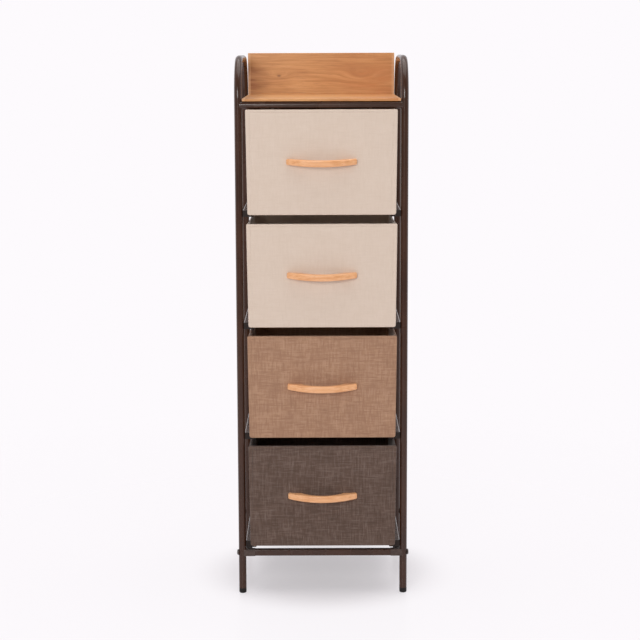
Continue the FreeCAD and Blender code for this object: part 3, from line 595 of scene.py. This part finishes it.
def white_acrylic_floor():
    """White acrylic sheet with a soft blurred reflection and a painted glow: it glows white to the camera,
    less under the object so that its shadow shows, fading into the light round it.
    """
    material, tree, place = start_material("satin_white_acrylic_sheet")
    cloudy = streaks(tree, place, (0.8, 0.8, 0.8))
    tone = add_node(tree, "ShaderNodeValToRGB", {"Fac": cloudy}, [(0.3, "#eeebee"), (0.7, "#f0edf0")])
    sheet = add_node(
        tree,
        "ShaderNodeBsdfPrincipled",
        {"Base Color": tone, "Roughness": 0.24, "IOR": 1.49, "Specular IOR Level": 0.35},
    )
    camera_ray = add_node(tree, "ShaderNodeLightPath").outputs["Is Camera Ray"]
    # painted glow for the camera only, weaker under the object so that its shadow shows
    painted_glow = add_node(tree, "ShaderNodeEmission", {"Color": colour(ROOM_WHITE)})
    away = add_node(tree, "ShaderNodeVectorMath", {0: place}, operation="LENGTH").outputs["Value"]
    share = add_node(
        tree,
        "ShaderNodeMapRange",
        {"Value": away, "From Min": 0.14, "From Max": 0.27, "To Min": 0.32, "To Max": 0.86},
        interpolation_type="SMOOTHSTEP",
    )
    share = add_node(tree, "ShaderNodeMath", {0: camera_ray, 1: share}, operation="MULTIPLY")
    lit = add_node(tree, "ShaderNodeMixShader", {0: share, 1: sheet, 2: painted_glow})
    # the sheet ends sooner for the camera than for the light and the gloss
    near_end = add_node(tree, "ShaderNodeMix", {0: camera_ray, 2: 1.2, 3: 0.5}, data_type="FLOAT")
    far_end = add_node(tree, "ShaderNodeMix", {0: camera_ray, 2: 4.2, 3: 1.6}, data_type="FLOAT")
    fade = add_node(
        tree,
        "ShaderNodeMapRange",
        {"Value": away, "From Min": near_end, "From Max": far_end},
        interpolation_type="SMOOTHSTEP",
    )
    open_air = add_node(tree, "ShaderNodeBsdfTransparent")
    finish_material(tree, add_node(tree, "ShaderNodeMixShader", {0: fade, 1: lit, 2: open_air}))
    return material


# ---- drawers ---------------------------------------------------------------------------------------------


def hang_walls(point, low, high):
    """Where a point of a bin's wall comes to rest: the cloth walls lean in between their corners."""
    height = (point.z - low) / (high - low)
    if height <= STILL_BELOW:
        return point
    along = (point.y - PANEL_BACK) / (BIN_REAR - PANEL_BACK)
    up = height**1.5
    lean = max(math.sin(math.pi * min(max(along, 0), 1)), 0) ** 0.8 * up
    across = max(math.cos(math.pi / 2 * min(abs(point.x) / BIN_HALF, 1)), 0) ** 0.8 * up
    # 1 on the side walls and on the rear wall, and 0 further in
    side = rise((abs(point.x) / BIN_HALF - 0.9) / 0.08)
    rear = rise((along - 0.93) / 0.05)
    swell = Vector([place * count for place, count in zip(point, RIPPLES_PER_METRE)])
    ripple = noise.noise(swell) * RIPPLE * height
    moved = point.copy()
    moved.x -= math.copysign(side * (SIDE_SAG * lean + ripple), point.x)
    moved.y -= rear * (REAR_SAG * across + ripple * across)
    moved.z -= RIM_DROP * lean * side * rise((height - 0.7) / 0.3)
    return moved


def sew_bin(level, low, high):
    """The open bin: side walls, rear wall and floor of one cloth, hemmed round the top."""
    name = "drawer_%d_cloth_bin" % level
    depth, height = BIN_REAR - PANEL_BACK, high - low
    piece = add_start(
        bpy.ops.mesh.primitive_cube_add,
        name,
        (2 * BIN_HALF, depth, height),
        (0, PANEL_BACK + depth / 2, low + height / 2),
        size=1,
    )
    open_piece(piece)
    pick(piece, "faces", lambda f: f.normal.z > 0.5)
    bpy.ops.mesh.delete(type="FACE")
    cut_across(spread(-BIN_HALF, BIN_HALF, BIN_PARTS_WIDE), (1, 0, 0))
    cut_across(spread(PANEL_BACK, BIN_REAR, BIN_PARTS_DEEP), (0, 1, 0))
    cut_across(spread(low, high - HEM - HEM_FREE, BIN_PARTS_HIGH), (0, 0, 1))
    cut_across([high - HEM - HEM_SEAM_HALF, high - HEM, high - HEM + HEM_SEAM_HALF], (0, 0, 1))
    cut_across([high - PIPING, high - PIPING + PIPING_RISE, high - PIPING_RISE], (0, 0, 1))
    pick(
        piece,
        "edges",
        lambda e: all(v.co.y > BIN_REAR - TOUCHING and abs(v.co.x) > BIN_HALF - TOUCHING for v in e.verts),
    )
    bpy.ops.mesh.bevel(offset=BIN_CORNER, segments=4, affect="EDGES")
    pick(
        piece,
        "edges",
        lambda e: all(v.co.z < low + TOUCHING for v in e.verts)
        and any(f.normal.z > -0.5 for f in e.link_faces),
    )
    bpy.ops.mesh.bevel(offset=BIN_LOWER_EDGE, segments=2, affect="EDGES")
    bpy.ops.mesh.select_all(action="SELECT")
    bpy.ops.mesh.remove_doubles(threshold=DOUBLES)
    bpy.ops.mesh.normals_make_consistent(inside=False)
    close_piece()

    def roll(z):
        """0 under the corded roll and 1 on it."""
        return rise((z - (high - PIPING)) / PIPING_RISE)

    def press_hem(point):
        """The hem's seam is drawn in, and its corded roll stands out all round."""
        on_side = abs(point.x) > BIN_HALF - WALL_OUTSIDE
        on_rear = point.y > BIN_REAR - WALL_OUTSIDE
        if not (on_side or on_rear) or point.z < high - HEM - HEM_SEAM_REACH:
            return point
        out = PIPING_OUT * roll(point.z) - HEM_SEAM_SINK * bump(point.z - (high - HEM), HEM_SEAM_REACH)
        moved = point.copy()
        if on_side:
            moved.x += math.copysign(out, point.x)
        else:
            moved.y += out
        return moved

    def fill_piping(point):
        """Inside, the roll stands in from the wall."""
        moved = point.copy()
        if BIN_HALF - INSIDE_DEEPEST < abs(point.x) < BIN_HALF + PIPING_OUT - INSIDE_SHALLOWEST:
            moved.x -= math.copysign(PIPING_IN * roll(point.z), point.x)
        if BIN_REAR - INSIDE_DEEPEST < point.y < BIN_REAR + PIPING_OUT - INSIDE_SHALLOWEST:
            moved.y -= PIPING_IN * roll(point.z)
        return moved

    mould(piece, press_hem)
    wall = piece.modifiers.new("cloth", "SOLIDIFY")
    wall.thickness = CLOTH
    wall.offset = -1
    wall.use_even_offset = True
    apply_modifier(piece, wall)
    mould(piece, fill_piping)
    mould(piece, lambda point: hang_walls(point, low, high))
    smooth_by_subdividing(piece)
    shade_smooth(piece)
    return piece


def sew_front(level, board_high, low, high):
    """The stiff front: cloth drawn over a board, its edges rolled, with a seam round the board. Gives the
    piece, how far out and how high its seams are, and the place of its face."""
    name = "drawer_%d_cloth_front" % level
    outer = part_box("drawer_%d_bin" % level)
    half = outer[1].x
    front = outer[0].y
    thickness = PANEL_BACK - front
    height = high - low
    middle = low + height / 2
    piece = add_start(
        bpy.ops.mesh.primitive_grid_add,
        name,
        (2 * half, height, 1),
        (0, PANEL_BACK, middle),
        (math.pi / 2, 0, 0),
        size=1,
        x_subdivisions=24,
        y_subdivisions=16,
    )
    seam_x = board_high.x + SEAM_OUTSIDE
    seam_z = board_high.z + SEAM_OUTSIDE
    open_piece(piece)
    bpy.ops.mesh.select_all(action="SELECT")
    bpy.ops.mesh.extrude_region_move(TRANSFORM_OT_translate={"value": (0, -thickness, 0)})
    beside = [seam_x - SEAM_HALF, seam_x, seam_x + SEAM_HALF]
    cut_across([-x for x in beside] + beside, (1, 0, 0))
    cut_across([seam_z - SEAM_HALF, seam_z, seam_z + SEAM_HALF_ABOVE], (0, 0, 1))
    cut_across([low + fold for fold in LOWER_FOLDS], (0, 0, 1))
    pick(
        piece,
        "edges",
        lambda e: all(abs(v.co.x) > half - TOUCHING and v.co.z < low + TOUCHING for v in e.verts)
        and abs(e.verts[0].co.y - e.verts[1].co.y) > thickness / 2,
    )
    bpy.ops.mesh.bevel(offset=LOWER_CORNER, segments=4, affect="EDGES")
    pick(
        piece,
        "edges",
        lambda e: all(abs(v.co.x) > half - TOUCHING and v.co.z > high - TOUCHING for v in e.verts)
        and abs(e.verts[0].co.y - e.verts[1].co.y) > thickness / 2,
    )
    bpy.ops.mesh.bevel(offset=UPPER_CORNER, segments=3, affect="EDGES")
    bpy.ops.mesh.select_mode(type="EDGE")
    bpy.ops.mesh.select_all(action="DESELECT")
    bpy.ops.mesh.edges_select_sharp(sharpness=math.radians(60))
    bpy.ops.mesh.bevel(offset=ROLLED_EDGE, segments=3, affect="EDGES")
    bpy.ops.mesh.select_all(action="SELECT")
    bpy.ops.mesh.normals_make_consistent(inside=False)
    close_piece()

    def dress(point):
        """Narrows the front towards its lower edge, sinks its seams and fills the cloth between them."""
        down = (high - point.z) / height
        moved = point.copy()
        moved.x *= 1 - FRONT_TAPER / half * down
        if point.y > front + FACE_DEPTH:
            return moved
        sunk = SEAM_SINK * max(
            bump(abs(point.x) - seam_x, SEAM_REACH) if point.z < seam_z + SEAM_CORNER else 0,
            bump(point.z - seam_z, SEAM_REACH_ABOVE) if abs(point.x) < seam_x + SEAM_CORNER else 0,
        )
        full = 0.0
        if abs(point.x) < seam_x and low + FULL_ABOVE < point.z < seam_z:
            reach_x = 1 - (abs(point.x) / seam_x) ** 4
            reach_z = 1 - (abs(point.z - middle) / (height / 2)) ** 4
            full = FULLNESS * reach_x * max(reach_z, 0)
            # uneven, in swells of about 80 mm that differ from drawer to drawer
            full *= 0.7 + 0.6 * noise.noise(Vector((point.x * 12, level * 3.1, point.z * 14)))
        moved.y += sunk - full
        return moved

    mould(piece, dress)
    smooth_by_subdividing(piece)
    shade_smooth(piece)
    return piece, seam_x, seam_z, front


def sew_stitches(start, along, face, length):
    """A row of stitches of one thread, from start in the direction along, lying on a face."""
    along, face = Vector(along).normalized(), Vector(face).normalized()
    turn = along.to_track_quat("Z", "Y").to_euler()
    stitch = add_start(
        bpy.ops.mesh.primitive_cylinder_add,
        "stitches",
        (THREAD / 2, THREAD / 2, STITCH / 2),
        (0, 0, 0),
        radius=1,
        depth=2,
        vertices=6,
    )
    open_piece(stitch)
    pick(stitch, "faces", lambda f: abs(f.normal.z) > 0.9)
    bpy.ops.mesh.inset(thickness=THREAD * STITCH_TIP, use_individual=True)
    bpy.ops.transform.resize(value=(1, 1, STITCH_STRETCH))
    close_piece()
    stitch.rotation_euler = turn
    stitch.location = Vector(start) + along * STITCH / 2 + face * THREAD * STITCH_LIFT
    bpy.ops.object.transform_apply(location=True, rotation=True, scale=True)
    row = stitch.modifiers.new("row", "ARRAY")
    row.use_relative_offset = False
    row.use_constant_offset = True
    row.constant_offset_displace = along * STITCH_PITCH
    row.count = max(int(length / STITCH_PITCH), 1)
    apply_modifier(stitch, row)
    return stitch


def make_drawer(level, cloth, thread):
    """One drawer's cloth, dressed over its boards and riding with them."""
    body = "drawer_%d" % level
    panel_low, panel_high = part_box("drawer_%d_bin" % level)
    board_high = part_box("drawer_%d_front_board" % level)[1]
    low, high = panel_low.z, panel_high.z
    bin_low = low + BIN_FLOOR
    bag = sew_bin(level, bin_low, high)
    front, seam_x, seam_z, face_y = sew_front(level, board_high, low, high)
    rows = []
    for side in (-1, 1):
        rows.append(
            sew_stitches(
                (side * seam_x, face_y + FACE_SUNK, low + ROW_START),
                (0, 0, 1),
                (0, -1, 0),
                seam_z - low - ROW_SHORT,
            )
        )
    rows.append(
        sew_stitches(
            (-seam_x + UPPER_ROW_START, face_y + FACE_SUNK, seam_z),
            (1, 0, 0),
            (0, -1, 0),
            2 * (seam_x - UPPER_ROW_START),
        )
    )
    hem_rows = []
    for side in (-1, 1):
        hem_rows.append(
            sew_stitches(
                (side * (BIN_HALF - HEM_SUNK), PANEL_BACK + ROW_START, high - HEM),
                (0, 1, 0),
                (side, 0, 0),
                BIN_REAR - BIN_CORNER - PANEL_BACK - ROW_SHORT,
            )
        )
    hem_rows.append(
        sew_stitches(
            (-BIN_HALF + BIN_CORNER, BIN_REAR - HEM_SUNK, high - HEM),
            (1, 0, 0),
            (0, 1, 0),
            2 * (BIN_HALF - BIN_CORNER),
        )
    )
    for row in hem_rows:
        mould(row, lambda point: hang_walls(point, bin_low, high))
    stitching = join(rows + hem_rows, "drawer_%d_stitching" % level)
    shade_smooth(stitching)
    for piece, finish in ((bag, cloth), (front, cloth), (stitching, thread)):
        piece.data.materials.clear()
        piece.data.materials.append(finish)
        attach(piece, body)
    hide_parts("drawer_%d_bin" % level)
    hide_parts("drawer_%d_bin" % level)


# ---- studio ----------------------------------------------------------------------------------------------


def lay_floor(finish):
    floor = add_start(
        bpy.ops.mesh.primitive_circle_add,
        "studio_floor",
        (1, 1, 1),
        (0, 0, 0),
        radius=FLOOR_RADIUS,
        vertices=96,
    )
    open_piece(floor)
    bpy.ops.mesh.select_all(action="SELECT")
    bpy.ops.mesh.edge_face_add()
    bpy.ops.mesh.normals_make_consistent(inside=False)
    close_piece()
    if floor.data.polygons[0].normal.z < 0:
        floor.data.flip_normals()
    floor.data.materials.append(finish)


def hang_softbox(name, place, aim, width, height, power):
    """A soft lamp that lights the object and shows in its gloss, but not to the camera."""
    data = bpy.data.lights.new(name, "AREA")
    data.shape = "RECTANGLE"
    data.size, data.size_y, data.energy = width, height, power
    data.color = (1.0, 0.985, 0.97)
    lamp = bpy.data.objects.new(name, data)
    bpy.context.scene.collection.objects.link(lamp)
    lamp.location = place
    lamp.rotation_euler = (Vector(aim) - Vector(place)).to_track_quat("-Z", "Y").to_euler()
    lamp.visible_camera = False


def light_room():
    """A white room: full white to the camera, dimmer in gloss in front and overhead, and a softer fill on
    the object, with two soft lamps."""
    world = bpy.data.worlds.new("white_room")
    bpy.context.scene.world = world
    world.use_nodes = True
    tree = world.node_tree
    tree.nodes.clear()
    path = add_node(tree, "ShaderNodeLightPath")
    facing = add_node(tree, "ShaderNodeTexCoord").outputs["Generated"]
    parts = add_node(tree, "ShaderNodeSeparateXYZ", {"Vector": facing})
    fill = add_node(
        tree,
        "ShaderNodeMapRange",
        {
            "Value": parts.outputs["Y"],
            "From Min": -0.5,
            "From Max": 0.5,
            "To Min": FILL_FRONT,
            "To Max": FILL_REAR,
        },
        interpolation_type="SMOOTHSTEP",
    )
    gloss = add_node(
        tree,
        "ShaderNodeMapRange",
        {
            "Value": parts.outputs["Y"],
            "From Min": -0.75,
            "From Max": 0.1,
            "To Min": GLOSS_FRONT,
            "To Max": GLOSS_REAR,
        },
        interpolation_type="SMOOTHSTEP",
    )
    above = add_node(
        tree,
        "ShaderNodeMapRange",
        {"Value": parts.outputs["Z"], "From Min": 0.1, "From Max": 0.8, "To Min": 1.0, "To Max": GLOSS_ABOVE},
    )
    gloss = add_node(tree, "ShaderNodeMath", {0: gloss, 1: above}, operation="MULTIPLY")
    strength = add_node(
        tree, "ShaderNodeMix", {0: path.outputs["Is Glossy Ray"], 2: fill, 3: gloss}, data_type="FLOAT"
    )
    seen = add_node(
        tree,
        "ShaderNodeMath",
        {0: path.outputs["Is Camera Ray"], 1: path.outputs["Is Transmission Ray"]},
        operation="MAXIMUM",
    )
    strength = add_node(tree, "ShaderNodeMix", {0: seen, 2: strength, 3: 1.0}, data_type="FLOAT")
    room = add_node(tree, "ShaderNodeBackground", {"Color": colour(ROOM_WHITE), "Strength": strength})
    add_node(tree, "ShaderNodeOutputWorld", {"Surface": room})
    hang_softbox("front_softbox", place=(-0.7, -3.3, 1.65), aim=(0, 0, 0.42), width=1.1, height=1.0, power=41)
    hang_softbox("top_softbox", place=(0.1, 0.1, 2.9), aim=(0, -0.1, 0.2), width=2.8, height=2.4, power=40)


def set_camera():
    """Level with the top of the dresser, and tipped down to its middle, with little shift."""
    data = bpy.data.cameras.new("camera")
    data.sensor_width = SENSOR_WIDTH
    data.lens = FOCAL_LENGTH / PICTURE_WIDTH * SENSOR_WIDTH
    data.shift_y = CAMERA_SHIFT
    camera = bpy.data.objects.new("camera", data)
    bpy.context.scene.collection.objects.link(camera)
    tilt, roll = math.radians(CAMERA_TILT), math.radians(CAMERA_ROLL)
    camera.matrix_world = (
        Matrix.Translation(CAMERA_PLACE)
        @ Matrix.Rotation(math.pi / 2 - tilt, 4, "X")
        @ Matrix.Rotation(roll, 4, "Z")
    )
    bpy.context.scene.camera = camera
    bpy.context.scene.view_settings.view_transform = "Standard"


# ---- putting it together ---------------------------------------------------------------------------------


def paint(finish, *names):
    """Gives the CAD nodes whose names start with any of these names their finish."""
    for node_name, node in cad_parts.items():
        if node_name.startswith(names):
            node.data.materials.clear()
            node.data.materials.append(finish)


cream = woven_linen("cream_woven_linen", "#d7c6b6", "#dfd0c2", "#ccb9a7", 0.28, 0.16)
tan = woven_linen("tan_woven_linen", "#a98469", "#bd9a80", "#94705a", 0.8, 0.45)
charcoal = woven_linen("charcoal_woven_linen", "#645147", "#82726a", "#4d3d34", 0.6, 0.35)
cream_thread = sewing_thread("cream_polyester_thread", "#dccbbb", "#bfae9c")
tan_thread = sewing_thread("tan_polyester_thread", "#ab886c", "#8a684e")
charcoal_thread = sewing_thread("charcoal_polyester_thread", "#5d514b", "#3f3531")

set_camera()
light_room()
lay_floor(white_acrylic_floor())

tube = lacquered_steel_tube()
paint(tube, "side_loop", "rail_left", "rail_right", "top_bar", "bottom_bar")
paint(moulded_plastic("black_brown_moulded_polypropylene", "#1a0f0b", "#23160f", 0.6), "rail_plugs")
paint(moulded_plastic("grey_brown_moulded_polypropylene", "#443631", "#52433c", 0.46), "bar_fitting")
paint(moulded_plastic("black_moulded_foot_polypropylene", "#141211", "#1f1c1a", 0.5), "foot_cap")
paint(coated_bolt_steel(), "frame_bolts")
paint(lacquered_veneer(), "shelf_board", "back_board")
zinc = zinc_plated_screw()
paint(zinc, "shelf_screws", "back_board_screws")
beech = lacquered_beech()
hardboard = pressed_hardboard()

cloths = {
    1: (cream, cream_thread),
    2: (cream, cream_thread),
    3: (tan, tan_thread),
    4: (charcoal, charcoal_thread),
}
for level, (cloth, thread) in cloths.items():
    make_drawer(level, cloth, thread)
    paint(beech, "drawer_%d_handle" % level)
    paint(zinc, "drawer_%d_handle_screws" % level)
    paint(hardboard, "drawer_%d_front_board" % level, "drawer_%d_base_board" % level)
